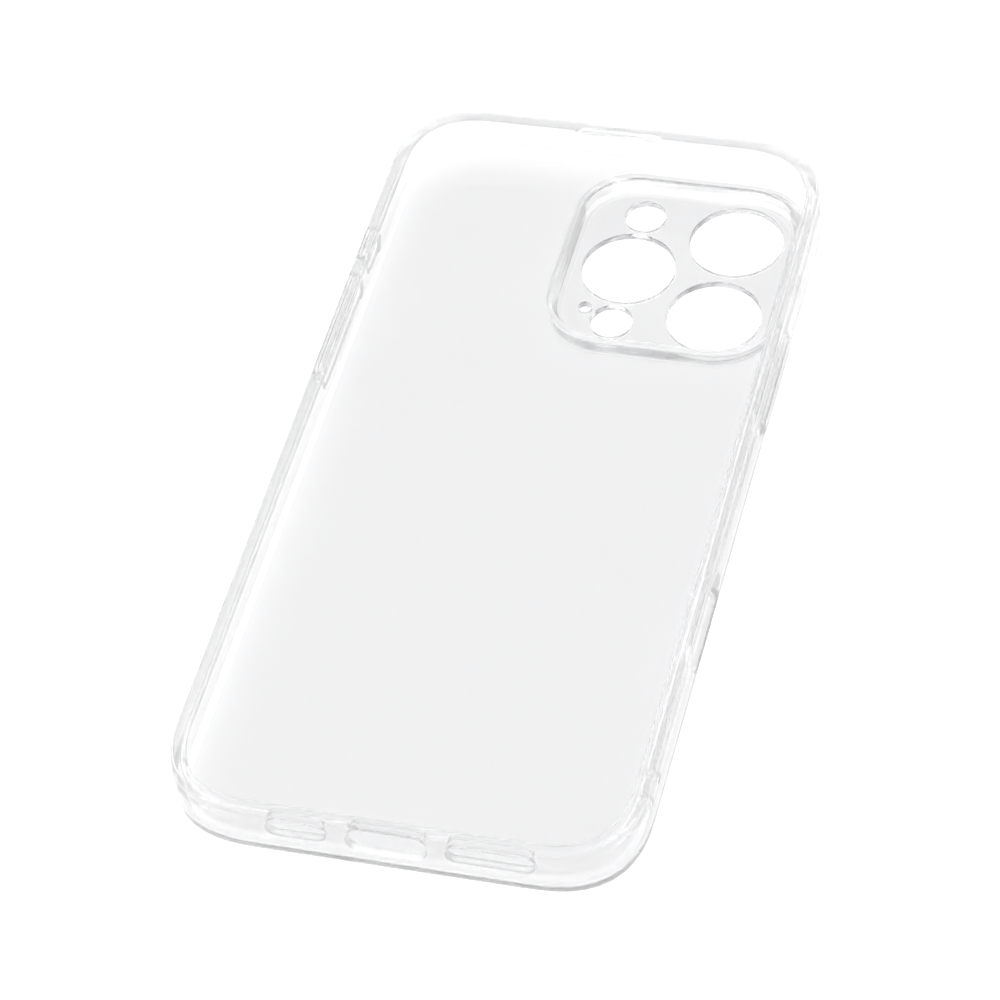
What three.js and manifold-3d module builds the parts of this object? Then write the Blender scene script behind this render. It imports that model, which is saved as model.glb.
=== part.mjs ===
// Clear flexible phone case with a raised camera guard. Millimetres, +Z up, open side up.
// X runs across the case, +Y points to the end that holds the cameras, and Z = 0 is the
// underside of the camera guard, the lowest part of the case.
import * as THREE from 'three';
import { mergeVertices } from 'three/addons/utils/BufferGeometryUtils.js';
import Module from 'manifold-3d';

const wasm = await Module();
wasm.setup();

// Driving dimensions.
const phoneWidth = 77.6;
const phoneLength = 163.0;
const wall = 1.6;
const backThickness = 1.4;
const rimHeight = 10.8;
const lipReach = 1.2;
const gap = 0.3;

// Outline of the case, seen from above. Corners are superelliptic, so they start gently.
const width = phoneWidth + 2 * wall;
const length = phoneLength + 2 * wall;
const cornerRadius = 17.8;
const cornerPower = 2.7;
const cornerSteps = 10;

// Section through a side wall.
const bottomRounding = 2.2;
const rimTaper = { height: 3.2, inset: 0.7 };
const pocketFillet = 1.4;
const lipUnderside = 9.65;
const panelSeam = wall + 0.35;

// Camera guard, a rounded square that stands below the back.
const guardDrop = 2.9;
const guardCentre = { x: 15.25, y: 58.5 };
const guardMouth = 41.2;
const guardFloor = 39.2;
const guardWall = 0.9;
const guardRadius = 11.5;
const guardPower = 2.3;
const guardRounding = 0.8;
const lensPlateThickness = 1.4;

// Holes in the lens plate: centre and diameter.
const lensDiameter = 17.2;
const lensHoles = [
  { x: 24.4, y: 68.15, d: lensDiameter },
  { x: 24.4, y: 48.85, d: lensDiameter },
  { x: 6.2, y: 58.4, d: lensDiameter },
  { x: 6.3, y: 72.0, d: 7.5 },
  { x: 6.2, y: 44.8, d: 7.7 },
  { x: 0.6, y: 47.5, d: 2.4 },
];

// Heights below are measured from the back's outer plane, which lies at Z = guardDrop.
const backPlane = guardDrop;
const portCentreHeight = 7.4;
const port = { centre: 0, width: 13.5, height: 5.2 };
const leftSlot = { centre: -15.3, width: 10.1, height: 3.3 };
const rightSlot = { centre: 17.4, width: 14.8, height: 3.3 };
const slotCentreHeight = 7.6;
const controlWindow = { fromTop: 110.6, width: 18.4, height: 4.6, flare: 1.5 };
const sideCentreHeight = 5.6;
const strapHoles = { fromTop: [145.1, 150.1], diameter: 1.6, height: 7.7 };
const speakerRelief = { width: 17.6, reach: 1.0 };

// Button covers: length along the wall and place from the top end.
const coverHeight = 3.8;
const coverProud = 0.7;
const coverEdge = 0.45;
const coverDepth = 2.1;
const coverClearance = 0.35;
const covers = [
  { name: 'action_button_cover', side: -1, fromTop: 35.1, length: 7.8 },
  { name: 'volume_rocker_cover', side: -1, fromTop: 55.6, length: 24.9 },
  { name: 'power_button_cover', side: 1, fromTop: 55.2, length: 22.9 },
];

// Fineness of the curves: steps in a quarter turn, or sides of a whole hole.
const circlePower = 2;
const slotSteps = 4;
const coverSteps = 5;
const strapSteps = 3;
const filletSteps = 3;
const roundingSteps = 4;
const bevelSteps = 2;
const largeHoleSides = 40;
const smallHoleSides = 20;

// Finishes.
const clearSoft = new THREE.MeshStandardMaterial({
  color: 0xf3f6f8, roughness: 0.08, metalness: 0, transparent: true, opacity: 0.35,
});
const clearFrosted = new THREE.MeshStandardMaterial({
  color: 0xeceff2, roughness: 0.3, metalness: 0, transparent: true, opacity: 0.45,
});

/** Rounded rectangle as a shape, its corners superelliptic with the given power. */
function roundedOutline(sizeX, sizeY, radius, power, steps) {
  const points = [];
  for (let quarter = 0; quarter < 4; quarter += 1) {
    for (let step = 0; step <= steps; step += 1) {
      const angle = (step / steps) * (Math.PI / 2);
      const along = radius * Math.cos(angle) ** (2 / power);
      const across = radius * Math.sin(angle) ** (2 / power);
      const turned = quarter % 2 === 1;
      const signX = quarter === 0 || quarter === 3 ? 1 : -1;
      const signY = quarter < 2 ? 1 : -1;
      const x = sizeX / 2 - radius + (turned ? across : along);
      const y = sizeY / 2 - radius + (turned ? along : across);
      points.push(new THREE.Vector2(signX * x, signY * y));
    }
  }
  return new THREE.Shape(points);
}

/** Case outline moved inwards by an inset. */
function caseOutline(inset) {
  const radius = cornerRadius - inset;
  return roundedOutline(width - 2 * inset, length - 2 * inset, radius, cornerPower, cornerSteps);
}

/** Rounded square of the camera guard with the given side. */
function guardOutline(side) {
  const radius = guardRadius + (side - guardMouth) / 2;
  return roundedOutline(side, side, radius, guardPower, cornerSteps);
}

/** Prism from z0 to z1 whose two end edges are cut back by edge.size over edge.height. */
function prism(outline, z0, z1, edge = null) {
  const bevel = edge && {
    bevelEnabled: true,
    bevelThickness: edge.height,
    bevelSize: edge.size,
    bevelOffset: -edge.size,
    bevelSegments: edge.steps,
  };
  const inner = edge ? edge.height : 0;
  const geometry = new THREE.ExtrudeGeometry(outline, {
    depth: z1 - z0 - 2 * inner,
    bevelEnabled: false,
    ...bevel,
  });
  return geometry.translate(0, 0, z0 + inner);
}

/** Closed solid for joining and cutting. */
function solid(geometry) {
  const bare = geometry.index ? geometry.toNonIndexed() : geometry.clone();
  bare.deleteAttribute('normal');
  bare.deleteAttribute('uv');
  const merged = mergeVertices(bare, 1e-4);
  return new wasm.Manifold(new wasm.Mesh({
    numProp: 3,
    vertProperties: new Float32Array(merged.attributes.position.array),
    triVerts: new Uint32Array(merged.index.array),
  }));
}

/** Named mesh from a finished solid. */
function part(name, body, material) {
  const { vertProperties, triVerts } = body.getMesh();
  const geometry = new THREE.BufferGeometry();
  geometry.setAttribute('position', new THREE.BufferAttribute(vertProperties, 3));
  geometry.setIndex(new THREE.BufferAttribute(triVerts, 1));
  geometry.computeVertexNormals();
  const mesh = new THREE.Mesh(geometry, material);
  mesh.name = name;
  return mesh;
}

/** Wall, lip and back of the case as one tray, before it is divided. */
function tray() {
  const above = backPlane + 2 * rimHeight;
  const rounded = { size: bottomRounding, height: bottomRounding, steps: roundingSteps };
  const tapered = { size: rimTaper.inset, height: rimTaper.height, steps: filletSteps };
  const lower = solid(prism(caseOutline(0), backPlane, above, rounded));
  const upper = solid(prism(caseOutline(0), backPlane - rimHeight, backPlane + rimHeight, tapered));
  const filleted = { size: pocketFillet, height: pocketFillet, steps: filletSteps };
  const floor = backPlane + backThickness;
  const pocket = solid(prism(caseOutline(wall), floor, backPlane + lipUnderside, filleted));
  const mouth = solid(prism(caseOutline(wall + lipReach), floor + pocketFillet, above));
  return lower.intersect(upper).subtract(pocket).subtract(mouth);
}

/** Slot with round ends that runs through the end wall at -Y. */
function endSlot({ centre, width: slotWidth, height }, centreHeight) {
  const outline = roundedOutline(slotWidth, height, height / 2, circlePower, slotSteps);
  const geometry = prism(outline, 0, 4 * wall);
  geometry.rotateX(Math.PI / 2);
  geometry.translate(centre, -length / 2 + 3 * wall, backPlane + centreHeight);
  return solid(geometry);
}

/** Cutter through a side wall at x = side * width / 2, built on an outline of length by height. */
function sideCutter(outline, side, fromTop, height) {
  const geometry = prism(outline, -2 * wall, 2 * wall);
  geometry.rotateX(Math.PI / 2);
  geometry.rotateZ(side * Math.PI / 2);
  geometry.translate(side * (width / 2), length / 2 - fromTop, backPlane + height);
  return solid(geometry);
}

/** Window for the camera control, flared outwards so that a fingertip reaches in. */
function controlCut() {
  const { fromTop, width: windowLength, height, flare } = controlWindow;
  const straight = roundedOutline(windowLength, height, height / 2, circlePower, coverSteps);
  const scoopLength = windowLength + 2 * flare;
  const scoopHeight = height + 2 * flare;
  const flared = roundedOutline(scoopLength, scoopHeight, scoopHeight / 2, circlePower, coverSteps);
  const through = sideCutter(straight, 1, fromTop, sideCentreHeight);
  const scoop = prism(flared, 0, 2 * wall + flare, { size: flare, height: flare, steps: 1 });
  scoop.rotateX(Math.PI / 2);
  scoop.rotateZ(Math.PI / 2);
  scoop.translate(width / 2 - wall / 2, length / 2 - fromTop, backPlane + sideCentreHeight);
  return through.add(solid(scoop));
}

/** Perimeter wall with its lip, ports, button windows and strap holes. */
function bumperFrame(body) {
  const inside = solid(prism(caseOutline(panelSeam - gap), -1, backPlane + rimHeight / 4));
  let frame = body.subtract(inside);
  frame = frame.subtract(endSlot(port, portCentreHeight));
  frame = frame.subtract(endSlot(leftSlot, slotCentreHeight));
  frame = frame.subtract(endSlot(rightSlot, slotCentreHeight));
  frame = frame.subtract(controlCut());
  for (const cover of covers) {
    const outline = coverOutline(cover, coverClearance);
    frame = frame.subtract(sideCutter(outline, cover.side, cover.fromTop, sideCentreHeight));
  }
  for (const fromTop of strapHoles.fromTop) {
    const { diameter } = strapHoles;
    const outline = roundedOutline(diameter, diameter, diameter / 2, circlePower, strapSteps);
    frame = frame.subtract(sideCutter(outline, 1, fromTop, strapHoles.height));
  }
  const corner = 2 * speakerRelief.reach;
  const relief = roundedOutline(speakerRelief.width, 4 * wall, corner, circlePower, slotSteps);
  const reliefCut = prism(relief, backPlane + lipUnderside, backPlane + 2 * rimHeight);
  reliefCut.translate(0, length / 2 - wall - lipReach + speakerRelief.reach - 2 * wall, 0);
  return frame.subtract(solid(reliefCut));
}

/** Flat back with an opening for the camera guard. */
function backPanel(body) {
  const inside = solid(prism(caseOutline(panelSeam), -1, backPlane + rimHeight / 4));
  const opening = prism(guardOutline(guardOuterSide() + 2 * gap), -1, backPlane + rimHeight);
  opening.translate(guardCentre.x, guardCentre.y, 0);
  return body.intersect(inside).subtract(solid(opening));
}

/** Outer side of the camera guard's square. */
function guardOuterSide() {
  return guardMouth + 2 * guardWall;
}

/** Ring around the cameras: outer wall, sloping inner wall and a seat for the lens plate. */
function cameraGuard() {
  const top = backPlane + backThickness;
  const plateTop = lensPlateThickness;
  const edge = { size: guardRounding, height: guardRounding, steps: filletSteps };
  const outside = solid(prism(guardOutline(guardOuterSide()), 0, 2 * top, edge));
  const above = solid(prism(guardOutline(2 * guardOuterSide()), top, 3 * top));
  const height = top - plateTop;
  const slope = { size: (guardMouth - guardFloor) / 2, height, steps: 1 };
  const recess = prism(guardOutline(guardMouth), plateTop, top + 2 * height, slope);
  const seat = prism(guardOutline(guardFloor), -1, plateTop + height / 4);
  const ring = outside.subtract(above).subtract(solid(recess)).subtract(solid(seat));
  return ring.translate([guardCentre.x, guardCentre.y, 0]);
}

/** Plate at the bottom of the camera recess with its lens, light and sensor holes. */
function lensPlate() {
  const geometry = prism(guardOutline(guardFloor - 2 * gap), 0, lensPlateThickness);
  geometry.translate(guardCentre.x, guardCentre.y, 0);
  let plate = solid(geometry);
  for (const { x, y, d } of lensHoles) {
    const sides = d > lensDiameter / 2 ? largeHoleSides : smallHoleSides;
    const hole = new THREE.CylinderGeometry(d / 2, d / 2, 4 * lensPlateThickness, sides);
    hole.rotateX(Math.PI / 2);
    hole.translate(x, y, 0);
    plate = plate.subtract(solid(hole));
  }
  return plate;
}

/** Outline of a button cover, grown on all sides by a margin. */
function coverOutline(cover, margin) {
  const height = coverHeight + 2 * margin;
  return roundedOutline(cover.length + 2 * margin, height, height / 2, circlePower, coverSteps);
}

/** Button cover: a capsule that fills its window and stands proud of the wall. */
function buttonCover(cover) {
  const edge = { size: coverEdge, height: coverEdge, steps: bevelSteps };
  const geometry = prism(coverOutline(cover, 0), -coverDepth / 2, coverDepth / 2, edge);
  geometry.rotateX(Math.PI / 2);
  geometry.rotateZ(Math.PI / 2);
  const centre = width / 2 + coverProud - coverDepth / 2;
  geometry.translate(cover.side * centre, length / 2 - cover.fromTop, backPlane + sideCentreHeight);
  return solid(geometry);
}

const phoneCase = new THREE.Group();
const body = tray();
phoneCase.add(part('bumper_frame', bumperFrame(body), clearSoft));
phoneCase.add(part('back_panel', backPanel(body), clearFrosted));
phoneCase.add(part('camera_guard', cameraGuard(), clearSoft));
phoneCase.add(part('lens_plate', lensPlate(), clearFrosted));
for (const cover of covers) {
  phoneCase.add(part(cover.name, buttonCover(cover), clearSoft));
}

export default phoneCase;
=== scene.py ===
"""Clear flexible phone case with a raised camera guard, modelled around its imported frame."""

import math

import bpy
from mathutils import Matrix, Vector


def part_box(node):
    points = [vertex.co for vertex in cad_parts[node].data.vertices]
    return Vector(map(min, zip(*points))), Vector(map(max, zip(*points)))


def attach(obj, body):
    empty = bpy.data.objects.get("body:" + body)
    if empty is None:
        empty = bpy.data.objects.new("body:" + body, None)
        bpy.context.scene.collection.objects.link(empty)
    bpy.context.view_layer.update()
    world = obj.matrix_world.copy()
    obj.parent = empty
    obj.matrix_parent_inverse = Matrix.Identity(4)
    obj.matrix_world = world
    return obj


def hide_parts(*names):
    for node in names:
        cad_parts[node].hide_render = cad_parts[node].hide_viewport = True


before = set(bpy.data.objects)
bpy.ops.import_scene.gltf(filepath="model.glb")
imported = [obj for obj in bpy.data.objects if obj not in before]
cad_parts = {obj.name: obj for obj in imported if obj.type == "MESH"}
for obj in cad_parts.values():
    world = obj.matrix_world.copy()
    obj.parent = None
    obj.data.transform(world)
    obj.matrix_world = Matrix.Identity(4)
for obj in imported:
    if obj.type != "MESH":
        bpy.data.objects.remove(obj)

bl_info = {
    "name": "Clear Phone Case",
    "version": (1, 0, 0),
    "blender": (4, 5, 0),
    "location": "3D View > Sidebar > Phone Case",
    "description": "Models a clear flexible phone case with a camera guard and press-through button covers",
    "category": "Add Mesh",
}

MM = 0.001
FRAME_LOW, FRAME_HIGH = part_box("bumper_frame")
PANEL_LOW, PANEL_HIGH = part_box("back_panel")
GUARD_LOW, GUARD_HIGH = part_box("camera_guard")
PLATE_LOW, PLATE_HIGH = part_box("lens_plate")
COVER_BODIES = {
    "action_button_cover": "action_button",
    "volume_rocker_cover": "volume_rocker",
    "power_button_cover": "power_button",
}
BACK = PANEL_LOW.z
RIM = FRAME_HIGH.z - BACK
OUTER = (FRAME_HIGH.x - FRAME_LOW.x, FRAME_HIGH.y - FRAME_LOW.y)
GUARD_CENTRE = (GUARD_LOW + GUARD_HIGH) / 2
GUARD_SIDE = GUARD_HIGH.x - GUARD_LOW.x
TOP_END = FRAME_HIGH.y

# Material slots that every piece of the case shares.
CLEAR, BOND = 0, 1

# Steps round each corner of an outline.
CORNER_STEPS = 12

# Two neighbouring rings keep at least this much difference in height, or the band between them twists.
RING_STEP = 0.012 * MM

# Depth of the lip's underside below the rim, and of the plate's edge past the guard's inner slope.
LIP_DEPTH = 1.15 * MM
PLATE_INSET = 0.35 * MM

# Clear plastic. Solidity is the share of light that bends as it passes; the rest goes straight on,
# which keeps light from being trapped in the wall. The flat back has to stay fully solid.
PLASTIC_IOR = 1.49
PLASTIC_CLEARNESS = 0.94
WALL_SOLIDITY = 0.7
BACK_SOLIDITY = 1.0
SKIN_WAVE = 0.02 * MM
DOT_RELIEF = 0.03 * MM

# Table and light.
TABLE_SIDE = 6.0
TABLE_DROP = 0.2 * MM
TABLE_GLOW = 0.55
SKY_STOPS = ((0.0, 0.6), (0.12, 0.8), (0.35, 0.86), (1.0, 0.9))
LIGHT_BOUNCES = 32
GLOSS_BOUNCES = 16

# Camera.
LENS = 147.71
SENSOR = 36
CAMERA_PLACE = (0.1658, -0.44835, 0.53522 + BACK)
CAMERA_TURN = (0.72285, 0.09608, 0.25232)


def length(name, default, description):
    """A length in metres that a user may change."""
    return bpy.props.FloatProperty(
        name=name, description=description, default=default,
        unit="LENGTH", subtype="DISTANCE", precision=5,
    )


class CaseSizes(bpy.types.PropertyGroup):
    """Sizes of the case that do not follow from the frame's boxes."""

    corner: length("Corner radius", 18.0 * MM, "Radius of the case's corners, seen from above")
    corner_power: bpy.props.FloatProperty(
        name="Corner power", description="2 is a circle; more starts the corner more gently", default=2.7
    )
    wall: length("Wall", 1.6 * MM, "Thickness of the side wall")
    back: length("Back", 1.4 * MM, "Thickness of the back")
    foot_radius: length("Foot rounding", 2.2 * MM, "Rounding from the side wall to the back")
    fillet: length("Pocket fillet", 0.8 * MM, "Fillet inside the pocket, at the floor")
    lip_fillet: length("Lip fillet", 1.4 * MM, "Fillet inside the pocket, under the lip")
    lip_reach: length("Lip reach", 1.2 * MM, "How far the lip stands in over the screen")
    rim_taper: length("Rim taper", 0.7 * MM, "How far the wall leans in at the rim")
    rim_taper_height: length("Rim taper height", 3.2 * MM, "Height over which the wall leans in")
    seam: length("Seam", 1.75 * MM, "Where the wall ends and the back begins, in from the outside")
    hair: length("Hairline", 0.01 * MM, "Half of the space left between bonded pieces")
    guard_corner: length("Guard corner", 12.4 * MM, "Corner radius of the camera guard's outer side")
    guard_power: bpy.props.FloatProperty(
        name="Guard corner power", description="2 is a circle; more starts the corner more gently",
        default=2.3,
    )
    guard_wall: length("Guard wall", 0.9 * MM, "Width of the guard around its mouth")
    guard_slope: length("Guard slope", 1.0 * MM, "How far the guard's inner wall leans in")
    lens_hole: length("Lens hole", 17.2 * MM, "Diameter of the three lens holes")
    light_hole: length("Light hole", 7.5 * MM, "Diameter of the light hole")
    sensor_hole: length("Sensor hole", 7.7 * MM, "Diameter of the sensor hole")
    sound_hole: length("Sound hole", 2.4 * MM, "Diameter of the microphone hole")
    dot_pitch: length("Dot pitch", 0.5543 * MM, "Spacing of the fine dots on the inner face")


class CaseFinish(bpy.types.PropertyGroup):
    """Colours of the case and the stage."""

    clear: bpy.props.FloatVectorProperty(
        name="Clear", description="Tint of the clear plastic", subtype="COLOR", size=3,
        default=(0.975, 0.976, 0.978),
    )
    clear_deep: bpy.props.FloatVectorProperty(
        name="Clear, deeper", description="Deeper tint in the moulding's flow", subtype="COLOR", size=3,
        default=(0.955, 0.957, 0.96),
    )
    dotted: bpy.props.FloatVectorProperty(
        name="Dotted", description="Tint of the dotted back", subtype="COLOR", size=3,
        default=(0.915, 0.916, 0.918),
    )
    dotted_deep: bpy.props.FloatVectorProperty(
        name="Dotted, deeper", description="Deeper tint in the back's flow", subtype="COLOR", size=3,
        default=(0.9, 0.901, 0.904),
    )
    floor: bpy.props.FloatVectorProperty(
        name="Floor", description="Colour of the table", subtype="COLOR", size=3, default=(0.93, 0.93, 0.93)
    )


# ---------------------------------------------------------------- helpers for making meshes


def deselect():
    """Leaves edit mode and selects nothing."""
    if bpy.context.mode != "OBJECT":
        bpy.ops.object.mode_set(mode="OBJECT")
    bpy.ops.object.select_all(action="DESELECT")


def only(obj):
    """Selects one object and makes it active."""
    deselect()
    obj.select_set(True)
    bpy.context.view_layer.objects.active = obj


def outline(size, radius, power, centre, height, steps, filled):
    """Rounded rectangle from a plane whose corners are bevelled; only its edge unless filled."""
    deselect()
    bpy.ops.mesh.primitive_plane_add(size=1, location=(centre[0], centre[1], height))
    obj = bpy.context.object
    obj.scale = (size[0], size[1], 1)
    bpy.ops.object.transform_apply(location=True, rotation=True, scale=True)
    bpy.ops.object.mode_set(mode="EDIT")
    bpy.ops.mesh.select_all(action="SELECT")
    bpy.ops.mesh.bevel(offset=radius, segments=steps, profile=2 ** (-2 / power), affect="VERTICES")
    if not filled:
        bpy.ops.mesh.delete(type="ONLY_FACE")
    bpy.ops.object.mode_set(mode="OBJECT")
    for material in (clear_plastic(), bond()):
        obj.data.materials.append(material)
    return obj


def select_vertices(mesh, wanted):
    """Selects the vertices whose index is wanted, and nothing else."""
    mesh.vertices.foreach_set("select", [i in wanted for i in range(len(mesh.vertices))])
    mesh.edges.foreach_set("select", [False] * len(mesh.edges))
    mesh.polygons.foreach_set("select", [False] * len(mesh.polygons))


def bridge(obj, wanted, bonded):
    """Joins two selected rings of vertices by a band of faces, bonded bands in the second slot."""
    only(obj)
    select_vertices(obj.data, wanted)
    bpy.ops.object.mode_set(mode="EDIT")
    bpy.ops.mesh.select_mode(type="VERT")
    bpy.ops.mesh.bridge_edge_loops()
    obj.active_material_index = BOND if bonded else CLEAR
    bpy.ops.object.material_slot_assign()
    bpy.ops.object.mode_set(mode="OBJECT")


def loft(name, sections, steps, closed, bonded_after=()):
    """Skin over rounded outlines. A section is (size, radius, power, centre, height).

    A closed loft joins its last outline to its first, as round a ring; an open one is capped at both ends.
    The band after each section in bonded_after meets another piece.
    """
    last = len(sections) - 1
    base = None
    ring = 4 * (steps + 1)
    for index, (size, radius, power, centre, height) in enumerate(sections):
        filled = not closed and index in (0, last)
        obj = outline(size, radius, power, centre, height, steps, filled)
        if base is None:
            base = obj
            base.name = base.data.name = name
            continue
        only(base)
        obj.select_set(True)
        bpy.ops.object.join()
        start = (index - 1) * ring
        bridge(base, range(start, start + 2 * ring), index - 1 in bonded_after)
    if closed:
        first_and_last = set(range(ring)) | set(range(last * ring, (last + 1) * ring))
        bridge(base, first_and_last, last in bonded_after)
    only(base)
    bpy.ops.object.mode_set(mode="EDIT")
    bpy.ops.mesh.select_all(action="SELECT")
    bpy.ops.mesh.normals_make_consistent(inside=False)
    bpy.ops.object.mode_set(mode="OBJECT")
    return base


def arc(centre, radius, start, end, steps):
    """Points on an arc, angles in degrees, both ends included."""
    angles = [math.radians(start + (end - start) * i / steps) for i in range(steps + 1)]
    return [(centre[0] + radius * math.cos(a), centre[1] + radius * math.sin(a)) for a in angles]


def cut(obj, cutters):
    """Cuts joined cutters out of a piece."""
    only(cutters[0])
    for cutter in cutters[1:]:
        cutter.select_set(True)
    if len(cutters) > 1:
        bpy.ops.object.join()
    tool = bpy.context.object
    only(obj)
    modifier = obj.modifiers.new("Cut", "BOOLEAN")
    modifier.operation = "DIFFERENCE"
    modifier.solver = "EXACT"
    modifier.object = tool
    bpy.ops.object.modifier_apply(modifier=modifier.name)
    bpy.data.objects.remove(tool)


def finish_piece(obj, body, node):
    """Merges doubles, shades the piece, and tells the frame what it stands for."""
    only(obj)
    bpy.ops.object.mode_set(mode="EDIT")
    bpy.ops.mesh.select_all(action="SELECT")
    bpy.ops.mesh.remove_doubles(threshold=0.002 * MM)
    bpy.ops.object.mode_set(mode="OBJECT")
    bpy.ops.object.shade_smooth_by_angle(angle=math.radians(40))
    modifier = obj.modifiers.new("Even shading", "WEIGHTED_NORMAL")
    modifier.keep_sharp = True
    bpy.ops.object.modifier_apply(modifier=modifier.name)
    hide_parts(node)
    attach(obj, body)


def sizes():
    """The sizes a user can change."""
    return bpy.context.scene.case_sizes


def case_section(inset, height):
    """Outline of the case at an inset from its outer side and a height above the back."""
    s = sizes()
    size = (OUTER[0] - 2 * inset, OUTER[1] - 2 * inset)
    return (size, s.corner - inset, s.corner_power, (0, 0), BACK + height)


def guard_section(inset, height):
    """Outline of the camera guard at an inset from its outer side and a height above its underside."""
    s = sizes()
    side = GUARD_SIDE - 2 * inset
    return ((side, side), s.guard_corner - inset, s.guard_power, GUARD_CENTRE[:2], height)


# ---------------------------------------------------------------- materials


def new_material(name):
    """A new node material with its empty tree, or the finished one of that name and no tree."""
    material = bpy.data.materials.get(name)
    if material:
        return material, None
    material = bpy.data.materials.new(name)
    material.use_nodes = True
    material.node_tree.nodes.clear()
    return material, material.node_tree


def node(tree, kind, **values):
    """A node with its plain inputs and properties set."""
    made = tree.nodes.new(kind)
    for key, value in values.items():
        if key in made.inputs:
            made.inputs[key].default_value = value
        else:
            setattr(made, key, value)
    return made


def clear_tree(tree, tints, roughness, solidity):
    """Clear moulded plastic, tinted by the melt's flow, with a slight wave in its skin."""
    place = node(tree, "ShaderNodeTexCoord")
    flow = node(tree, "ShaderNodeTexNoise", Scale=38.0, Detail=3.0, Roughness=0.5)
    tint = node(tree, "ShaderNodeMix", data_type="RGBA")
    tint.inputs["A"].default_value = (*tints[0], 1)
    tint.inputs["B"].default_value = (*tints[1], 1)
    wave = node(tree, "ShaderNodeTexNoise", Scale=90.0, Detail=1.5, Roughness=0.45)
    skin = node(tree, "ShaderNodeBump", Strength=0.6, Distance=SKIN_WAVE)
    plastic = node(tree, "ShaderNodeBsdfPrincipled", Roughness=roughness, IOR=PLASTIC_IOR)
    plastic.inputs["Transmission Weight"].default_value = PLASTIC_CLEARNESS
    plastic.inputs["Alpha"].default_value = solidity
    out = node(tree, "ShaderNodeOutputMaterial")
    link = tree.links.new
    link(place.outputs["Object"], flow.inputs["Vector"])
    link(place.outputs["Object"], wave.inputs["Vector"])
    link(flow.outputs["Fac"], tint.inputs["Factor"])
    link(tint.outputs["Result"], plastic.inputs["Base Color"])
    link(wave.outputs["Fac"], skin.inputs["Height"])
    link(skin.outputs["Normal"], plastic.inputs["Normal"])
    link(plastic.outputs["BSDF"], out.inputs["Surface"])
    return plastic, skin, place


def clear_plastic():
    """Glossy clear plastic of the wall, the guard and the covers."""
    material, tree = new_material("clear soft plastic")
    if tree:
        finish = bpy.context.scene.case_finish
        clear_tree(tree, (finish.clear, finish.clear_deep), 0.02, WALL_SOLIDITY)
    return material


def dot_lattice(tree, place, face_height):
    """Square lattice of fine dots, on faces at one height only."""
    link = tree.links.new
    split = node(tree, "ShaderNodeSeparateXYZ")
    link(place.outputs["Object"], split.inputs["Vector"])
    turns = 2 * math.pi / sizes().dot_pitch
    waves = []
    for axis in ("X", "Y"):
        scaled = node(tree, "ShaderNodeMath", operation="MULTIPLY")
        scaled.inputs[1].default_value = turns
        curve = node(tree, "ShaderNodeMath", operation="COSINE")
        link(split.outputs[axis], scaled.inputs[0])
        link(scaled.outputs[0], curve.inputs[0])
        waves.append(curve)
    lattice = node(tree, "ShaderNodeMath", operation="ADD")
    link(waves[0].outputs[0], lattice.inputs[0])
    link(waves[1].outputs[0], lattice.inputs[1])
    dots = node(tree, "ShaderNodeMapRange", interpolation_type="SMOOTHSTEP")
    for key, value in (("From Min", 0.2), ("From Max", 1.8), ("To Min", 0.0), ("To Max", 1.0)):
        dots.inputs[key].default_value = value
    link(lattice.outputs[0], dots.inputs["Value"])
    near = node(tree, "ShaderNodeMath", operation="COMPARE")
    near.inputs[1].default_value = face_height
    near.inputs[2].default_value = 0.05 * MM
    link(split.outputs["Z"], near.inputs[0])
    masked = node(tree, "ShaderNodeMath", operation="MULTIPLY")
    link(dots.outputs[0], masked.inputs[0])
    link(near.outputs[0], masked.inputs[1])
    return masked


def dotted_plastic():
    """The same plastic, a shade deeper, with a lattice of fine dots that keeps it from clinging."""
    material, tree = new_material("clear dotted plastic")
    if tree:
        finish = bpy.context.scene.case_finish
        tints = (finish.dotted, finish.dotted_deep)
        plastic, skin, place = clear_tree(tree, tints, 0.05, BACK_SOLIDITY)
        dots = dot_lattice(tree, place, PANEL_LOW.z + sizes().back)
        relief = node(tree, "ShaderNodeBump", Strength=1.0, Distance=DOT_RELIEF)
        tree.links.new(dots.outputs[0], relief.inputs["Height"])
        tree.links.new(skin.outputs["Normal"], relief.inputs["Normal"])
        tree.links.new(relief.outputs["Normal"], plastic.inputs["Normal"])
    return material


def bond():
    """Where two regions of one moulding meet: nothing to see."""
    material, tree = new_material("bonded joint")
    if tree:
        through = node(tree, "ShaderNodeBsdfTransparent")
        out = node(tree, "ShaderNodeOutputMaterial")
        tree.links.new(through.outputs["BSDF"], out.inputs["Surface"])
    return material


# ---------------------------------------------------------------- outlines of the pieces


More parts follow.
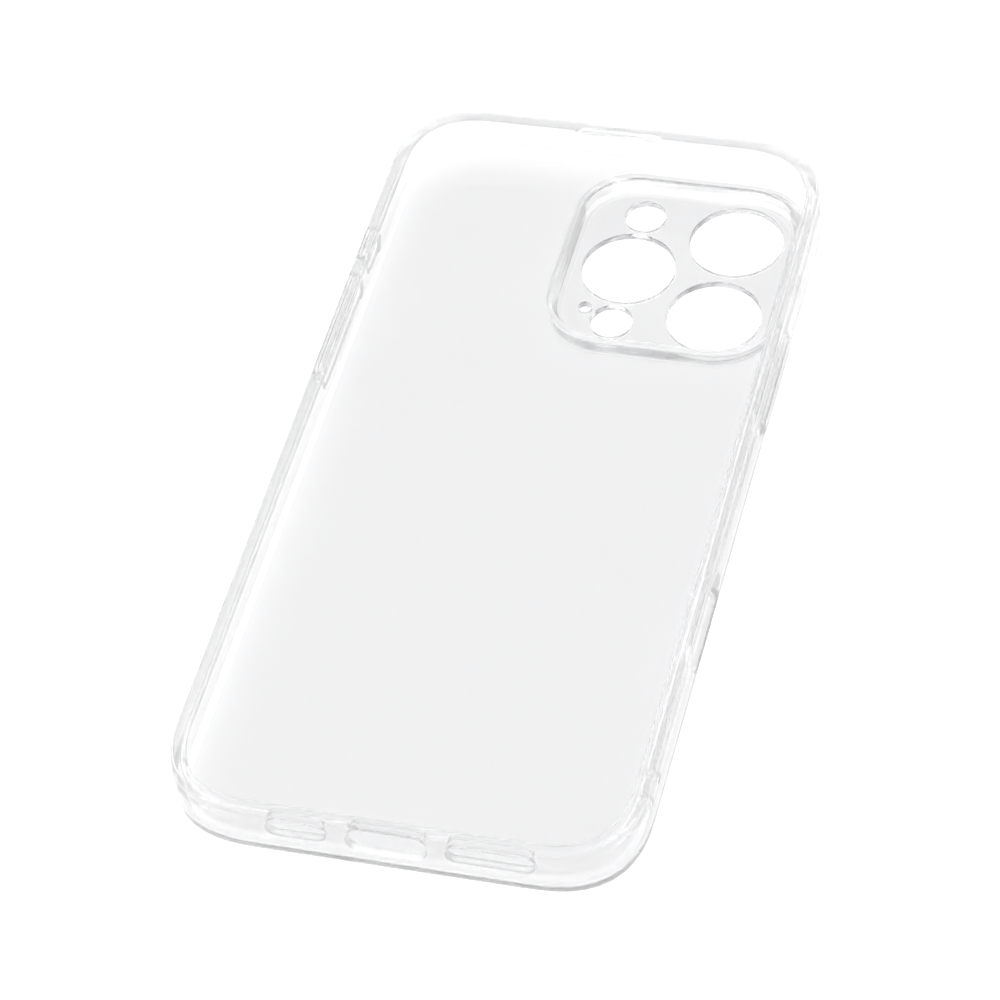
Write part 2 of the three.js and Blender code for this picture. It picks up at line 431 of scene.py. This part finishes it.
def frame_profile():
    """Section of the wall, once round: (inset, height) from the outer foot over the lip to the seam."""
    s = sizes()
    seam = s.seam - s.hair
    foot = (s.foot_radius, s.foot_radius)
    start = 270 - math.degrees(math.asin((s.foot_radius - seam) / s.foot_radius))
    points = arc(foot, s.foot_radius, start, 180, 7)
    lean = RIM - s.rim_taper_height
    points += [(0, s.foot_radius + 2.2 * MM), (0, lean)]
    for step in range(1, 5):
        angle = math.radians(step * 12)
        points.append((s.rim_taper * (1 - math.cos(angle)), lean + s.rim_taper_height * math.sin(angle)))
    lip = s.wall + s.lip_reach
    crown = 0.75 * MM
    points += arc((points[-1][0] + crown + 0.02 * MM, RIM - crown), crown, 165, 100, 6)
    points += [((s.wall + 0.1 * MM), RIM)]
    nose_top = 0.6 * MM
    points += arc((lip - nose_top, RIM - nose_top), nose_top, 78, 0, 6)
    under = (s.wall + s.lip_fillet, RIM - LIP_DEPTH - s.lip_fillet)
    nose = 0.18 * MM
    points += arc((lip - nose, under[1] + s.lip_fillet + 0.12 * MM), nose, 0, -80, 3)
    points += arc(under, s.lip_fillet, 112, 180, 6)
    points += [(s.wall, s.back + s.fillet + 2.5 * MM)]
    floor = (s.wall + s.fillet, s.back + s.fillet)
    reach = math.degrees(math.acos((floor[0] - seam) / s.fillet))
    points += arc(floor, s.fillet, 180, 180 + reach, 3)
    return points


def panel_profile():
    """Edge of the back: (inset, height) from the flat underside out to the seam and in to the floor."""
    s = sizes()
    seam = s.seam + s.hair
    foot = (s.foot_radius, s.foot_radius)
    reach = math.degrees(math.asin((s.foot_radius - seam) / s.foot_radius))
    under = arc(foot, s.foot_radius, 270, 270 - reach, 1)
    floor = (s.wall + s.fillet, s.back + s.fillet)
    reach = math.degrees(math.acos((floor[0] - seam) / s.fillet))
    top = arc(floor, s.fillet, 180 + reach, 270, 4)
    return under, top


def stadium(name, base, sections, steps, side, centre):
    """Capsule-ended loft that runs through a wall. A section is (growth, depth); depth grows outwards.

    side is the way it runs: +X, -X, -Y or +Z.
    """
    rings = []
    for growth, depth in sections:
        size = (base[0] + 2 * growth, base[1] + 2 * growth)
        rings.append((size, 0.499 * size[1], 2, (0, 0), depth))
    obj = loft(name, rings, steps, closed=False)
    turn = {
        "+X": Matrix(((0, 0, 1), (1, 0, 0), (0, 1, 0))),
        "-X": Matrix(((0, 0, -1), (-1, 0, 0), (0, 1, 0))),
        "-Y": Matrix(((1, 0, 0), (0, 0, -1), (0, 1, 0))),
        "+Z": Matrix.Identity(3),
    }[side]
    obj.matrix_world = Matrix.Translation(centre) @ turn.to_4x4()
    only(obj)
    bpy.ops.object.transform_apply(location=True, rotation=True, scale=True)
    return obj


def flared(inner, outer, inner_radius, outer_radius, waist=0.0):
    """Sections of a cutter from inside a wall to outside it, its two mouths rounded over."""
    reach = 0.6 * MM
    steps = 4
    sections = [(waist + inner_radius, inner - reach)]
    for i in range(steps + 1):
        angle = math.radians(90 * i / steps)
        sections.append(
            (waist + inner_radius * (1 - math.sin(angle)), inner + inner_radius * (1 - math.cos(angle)))
        )
    for i in range(steps + 1):
        angle = math.radians(90 * i / steps)
        sections.append(
            (waist + outer_radius * (1 - math.cos(angle)), outer - outer_radius * (1 - math.sin(angle)))
        )
    sections.append((waist + outer_radius, outer + reach))
    return sections


def bumper_frame_cutters():
    """Ports, slots, windows, strap holes and the relief in the top lip, as solids to cut away."""
    s = sizes()
    cutters = []
    end_y = FRAME_LOW.y
    for centre_x, width, height, centre_z in (
        (0.0, 13.5 * MM, 5.2 * MM, 7.4 * MM),
        (-15.3 * MM, 10.1 * MM, 3.3 * MM, 7.6 * MM),
        (17.4 * MM, 14.8 * MM, 3.3 * MM, 7.6 * MM),
    ):
        sections = flared(-s.wall, 0.0, 0.3 * MM, 0.45 * MM)
        place = (centre_x, end_y, BACK + centre_z)
        cutters.append(stadium("slot cutter", (width, height), sections, 8, "-Y", place))
    window_z = BACK + 5.6 * MM
    sections = flared(-s.wall, 0.0, 0.3 * MM, 1.0 * MM)
    scoop = [(g * 1.5 if d > -s.wall / 2 else g, d) for g, d in sections]
    place = (FRAME_HIGH.x, TOP_END - 110.6 * MM, window_z)
    cutters.append(stadium("control cutter", (18.4 * MM, 4.6 * MM), scoop, 10, "+X", place))
    for name in COVER_BODIES:
        low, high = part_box(name)
        middle = (low + high) / 2
        side = "+X" if middle.x > 0 else "-X"
        base = (high.y - low.y, high.z - low.z)
        gap, web = 0.35 * MM, 0.05 * MM
        sections = [
            (gap + 0.35 * MM, -s.wall - 0.5 * MM),
            (gap + 0.15 * MM, -s.wall),
            (gap, -s.wall + 0.25 * MM),
            (gap, -1.15 * MM),
            (web, -1.05 * MM),
            (web, -0.75 * MM),
            (gap, -0.65 * MM),
            (gap, -0.3 * MM),
            (gap + 0.1 * MM, -0.1 * MM),
            (gap + 0.3 * MM, 0.0),
            (gap + 0.6 * MM, 0.6 * MM),
        ]
        place = (math.copysign(FRAME_HIGH.x, middle.x), middle.y, middle.z)
        cutters.append(stadium("window cutter", base, sections, 10, side, place))
    for from_top in (145.1 * MM, 150.1 * MM):
        sections = flared(-s.wall, 0.0, 0.25 * MM, 0.3 * MM)
        place = (FRAME_HIGH.x, TOP_END - from_top, BACK + 7.7 * MM)
        cutters.append(stadium("strap cutter", (1.61 * MM, 1.6 * MM), sections, 5, "+X", place))
    relief = [(0.0, 0.0), (0.0, 0.8 * MM), (0.25 * MM, 1.15 * MM), (0.6 * MM, 2.0 * MM)]
    place = (0, TOP_END - s.wall - s.lip_reach - 1.5 * MM, BACK + RIM - LIP_DEPTH)
    cutters.append(stadium("relief cutter", (17.6 * MM, 5.0 * MM), relief, 8, "+Z", place))
    return cutters


# ---------------------------------------------------------------- operators


class CASE_OT_bumper_frame(bpy.types.Operator):
    """Model the side wall with its lip, ports and button windows"""

    bl_idname = "case.bumper_frame"
    bl_label = "Bumper Frame"

    def execute(self, context):
        sections = [case_section(*point) for point in frame_profile()]
        seam = {len(sections) - 1}
        obj = loft("bumper_frame_wall", sections, CORNER_STEPS, closed=True, bonded_after=seam)
        cut(obj, bumper_frame_cutters())
        finish_piece(obj, "case_shell", "bumper_frame")
        return {"FINISHED"}


class CASE_OT_back_panel(bpy.types.Operator):
    """Model the flat back with its opening for the camera guard"""

    bl_idname = "case.back_panel"
    bl_label = "Back Panel"

    def execute(self, context):
        s = sizes()
        under, top = panel_profile()
        sections = [case_section(*point) for point in under + top]
        obj = loft("back_panel_sheet", sections, CORNER_STEPS, closed=False, bonded_after={len(under) - 1})
        opening = [guard_section(-s.hair, BACK - 2 * MM), guard_section(-s.hair, BACK + 4 * MM)]
        cutter = loft("guard cutter", opening, CORNER_STEPS, closed=False, bonded_after={0})
        cut(obj, [cutter])
        obj.data.materials[CLEAR] = dotted_plastic()
        finish_piece(obj, "case_shell", "back_panel")
        return {"FINISHED"}


class CASE_OT_camera_guard(bpy.types.Operator):
    """Model the raised wall around the cameras"""

    bl_idname = "case.camera_guard"
    bl_label = "Camera Guard"

    def execute(self, context):
        s = sizes()
        top = BACK + s.back
        plate_top = PLATE_HIGH.z
        plate_edge = s.guard_wall + s.guard_slope + PLATE_INSET
        mouth = 0.5 * MM
        foot = 0.4 * MM
        rounding = 0.8 * MM
        points = [(s.hair, top - RING_STEP)]
        points += arc((s.guard_wall - mouth * 0.4, top - mouth), mouth, 90, 15, 5)
        points += arc((plate_edge - foot * 0.2, plate_top + foot), foot, 195, 254, 4)
        points += [(plate_edge - s.hair, plate_top)]
        bond_inner = len(points) - 1
        points += [(plate_edge - s.hair, RING_STEP)]
        points += arc((rounding + 0.15 * MM, rounding), rounding, 270, 190, 6)
        points += [(0.02 * MM + s.hair, BACK - 0.35 * MM), (s.hair, BACK)]
        bond_outer = len(points) - 1
        sections = [guard_section(inset, height) for inset, height in points]
        seams = {bond_inner, bond_outer}
        obj = loft("camera_guard_ring", sections, CORNER_STEPS, closed=True, bonded_after=seams)
        finish_piece(obj, "case_shell", "camera_guard")
        return {"FINISHED"}


class CASE_OT_lens_plate(bpy.types.Operator):
    """Model the floor of the camera recess with its lens holes"""

    bl_idname = "case.lens_plate"
    bl_label = "Lens Plate"

    def execute(self, context):
        s = sizes()
        edge = s.guard_wall + s.guard_slope + PLATE_INSET + s.hair
        plate_top = PLATE_HIGH.z
        sections = [guard_section(edge, 0.0), guard_section(edge, plate_top)]
        obj = loft("lens_plate_window", sections, CORNER_STEPS, closed=False, bonded_after={0})
        holes = (
            (24.4, 68.15, s.lens_hole, 16),
            (24.4, 48.85, s.lens_hole, 16),
            (6.2, 58.4, s.lens_hole, 16),
            (6.3, 72.0, s.light_hole, 10),
            (6.2, 44.8, s.sensor_hole, 10),
            (0.6, 47.5, s.sound_hole, 6),
        )
        cutters = []
        for x, y, diameter, steps in holes:
            sections = flared(0.0, plate_top, 0.3 * MM, 0.3 * MM)
            base = (diameter * 1.001, diameter)
            cutters.append(stadium("hole cutter", base, sections, steps, "+Z", (x * MM, y * MM, 0)))
        cut(obj, cutters)
        obj.data.materials[CLEAR] = dotted_plastic()
        finish_piece(obj, "case_shell", "lens_plate")
        return {"FINISHED"}


class CASE_OT_button_covers(bpy.types.Operator):
    """Model the three press-through button covers"""

    bl_idname = "case.button_covers"
    bl_label = "Button Covers"

    def execute(self, context):
        for name, body in COVER_BODIES.items():
            low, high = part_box(name)
            middle = (low + high) / 2
            side = "+X" if middle.x > 0 else "-X"
            depth = (high.x - low.x) / 2
            rim = 0.45 * MM
            sections = [(-rim, -depth)]
            for angle in (0.5, 1.0, math.pi / 2):
                sections.append((-rim * (1 - math.sin(angle)), -depth + rim * (1 - math.cos(angle))))
            sections += [(0.0, depth - 0.75 * MM)]
            crown = 0.75 * MM
            for step in range(1, 7):
                angle = math.radians(step * 15)
                growth = -0.85 * MM * (1 - math.cos(angle))
                sections.append((growth, depth - crown + crown * math.sin(angle)))
            base = (high.y - low.y, high.z - low.z)
            obj = stadium(name + "_pad", base, sections, 10, side, middle)
            finish_piece(obj, body, name)
        return {"FINISHED"}


class CASE_OT_stage(bpy.types.Operator):
    """Lay the floor, set the light and place the camera"""

    bl_idname = "case.stage"
    bl_label = "Stage"

    def execute(self, context):
        deselect()
        bpy.ops.mesh.primitive_plane_add(size=TABLE_SIDE, location=(0, 0, -TABLE_DROP))
        floor = context.object
        floor.name = floor.data.name = "studio_floor"
        floor.data.materials.append(floor_finish())
        studio_world()
        place_camera()
        return {"FINISHED"}


def floor_finish():
    """Matte pale table."""
    material, tree = new_material("pale table")
    if tree:
        colour = (*bpy.context.scene.case_finish.floor, 1)
        surface = node(tree, "ShaderNodeBsdfPrincipled", Roughness=0.9)
        surface.inputs["Base Color"].default_value = colour
        surface.inputs["Emission Color"].default_value = colour
        surface.inputs["Emission Strength"].default_value = TABLE_GLOW
        out = node(tree, "ShaderNodeOutputMaterial")
        tree.links.new(surface.outputs["BSDF"], out.inputs["Surface"])
    return material


def studio_world():
    """Soft, nearly even light that fades a little towards the horizon."""
    world = bpy.data.worlds.new("studio")
    bpy.context.scene.world = world
    world.use_nodes = True
    tree = world.node_tree
    tree.nodes.clear()
    place = node(tree, "ShaderNodeTexCoord")
    split = node(tree, "ShaderNodeSeparateXYZ")
    ramp = node(tree, "ShaderNodeValToRGB")
    while len(ramp.color_ramp.elements) < len(SKY_STOPS):
        ramp.color_ramp.elements.new(0.5)
    for element, (position, value) in zip(ramp.color_ramp.elements, SKY_STOPS):
        element.position = position
        element.color = (value, value, value * 1.01, 1)
    light = node(tree, "ShaderNodeBackground", Strength=1.0)
    out = node(tree, "ShaderNodeOutputWorld")
    tree.links.new(place.outputs["Generated"], split.inputs["Vector"])
    tree.links.new(split.outputs["Z"], ramp.inputs["Fac"])
    tree.links.new(ramp.outputs["Color"], light.inputs["Color"])
    tree.links.new(light.outputs["Background"], out.inputs["Surface"])
    scene = bpy.context.scene
    scene.view_settings.view_transform = "Standard"
    scene.cycles.max_bounces = scene.cycles.transmission_bounces = LIGHT_BOUNCES
    scene.cycles.glossy_bounces = GLOSS_BOUNCES
    scene.cycles.transparent_max_bounces = LIGHT_BOUNCES


def place_camera():
    """Long lens from the case's lower right, looking down at it."""
    data = bpy.data.cameras.new("camera")
    camera = bpy.data.objects.new("camera", data)
    bpy.context.scene.collection.objects.link(camera)
    bpy.context.scene.camera = camera
    data.sensor_width = SENSOR
    data.lens = LENS
    data.clip_start, data.clip_end = 0.05, 20
    camera.location = CAMERA_PLACE
    camera.rotation_euler = CAMERA_TURN


class CASE_PT_sidebar(bpy.types.Panel):
    """Lists the pieces of the case"""

    bl_idname = "CASE_PT_sidebar"
    bl_label = "Phone Case"
    bl_space_type = "VIEW_3D"
    bl_region_type = "UI"
    bl_category = "Phone Case"

    def draw(self, context):
        for group in (context.scene.case_sizes, context.scene.case_finish):
            for name in group.__annotations__:
                self.layout.prop(group, name)
        for operator in OPERATORS:
            self.layout.operator(operator.bl_idname)


OPERATORS = (
    CASE_OT_bumper_frame,
    CASE_OT_back_panel,
    CASE_OT_camera_guard,
    CASE_OT_lens_plate,
    CASE_OT_button_covers,
    CASE_OT_stage,
)
CLASSES = (CaseSizes, CaseFinish, *OPERATORS, CASE_PT_sidebar)


def register():
    for each in CLASSES:
        bpy.utils.register_class(each)
    bpy.types.Scene.case_sizes = bpy.props.PointerProperty(type=CaseSizes)
    bpy.types.Scene.case_finish = bpy.props.PointerProperty(type=CaseFinish)


def unregister():
    del bpy.types.Scene.case_finish
    del bpy.types.Scene.case_sizes
    for each in reversed(CLASSES):
        bpy.utils.unregister_class(each)


def main():
    """Makes the case."""
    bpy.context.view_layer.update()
    register()
    for operator in OPERATORS:
        name = operator.bl_idname.split(".")[1]
        getattr(bpy.ops.case, name)()


if __name__ == "__main__":
    main()
